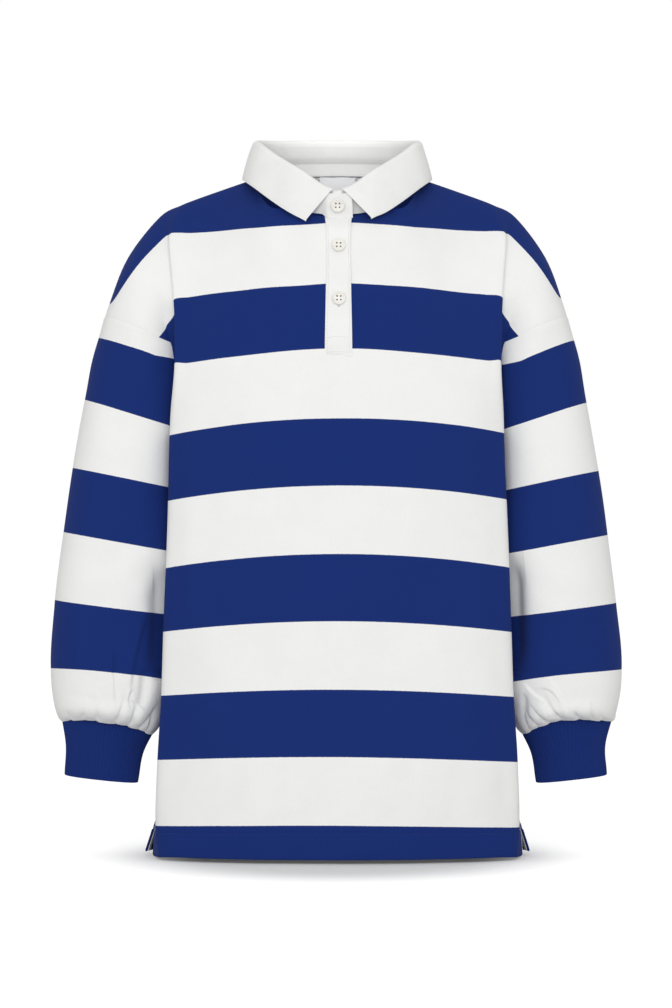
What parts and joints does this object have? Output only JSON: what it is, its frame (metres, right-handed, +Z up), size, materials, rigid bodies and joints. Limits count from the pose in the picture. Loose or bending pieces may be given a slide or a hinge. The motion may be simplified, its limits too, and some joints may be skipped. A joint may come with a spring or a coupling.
{
  "type": "long-sleeved rugby sweatshirt",
  "caption": "Long-sleeved rugby sweatshirt in wide blue and white stripes with a white shirt collar, buttoned front placket, ribbed cuffs and side vents, hanging hollow as worn.",
  "frame": {"origin": "middle of the line between the two side neck points, where the garment rests on its wearer's shoulders", "axes": "+Z up, -Y out of the front, +X towards the viewer's right when the front is seen"},
  "size_m": [0.5727, 0.2003, 0.7168],
  "materials": {
    "striped_jersey": "matte brushed-back cotton jersey, wide royal navy and off-white stripes",
    "blue_rib": "fine matte rib knit",
    "white_collar_cloth": "matte cotton twill",
    "white_label": "bare woven label",
    "pale_tape": "matte woven tape",
    "button": "off-white, softly glossy"
  },
  "bodies": {
    "root": {"body_front": "striped_jersey", "body_back": "striped_jersey", "sleeve_left_side": "striped_jersey", "sleeve_right_side": "striped_jersey", "cuff_left_side": "blue_rib", "cuff_right_side": "blue_rib", "collar_leaf": "white_collar_cloth", "collar_stand": "white_collar_cloth", "placket_top": "white_collar_cloth", "placket_under": "white_collar_cloth", "neck_label": "white_label", "vent_tape_left_side": "pale_tape", "vent_tape_right_side": "pale_tape", "button_top": "button", "button_middle": "button", "button_bottom": "button"}
  },
  "joints": []
}
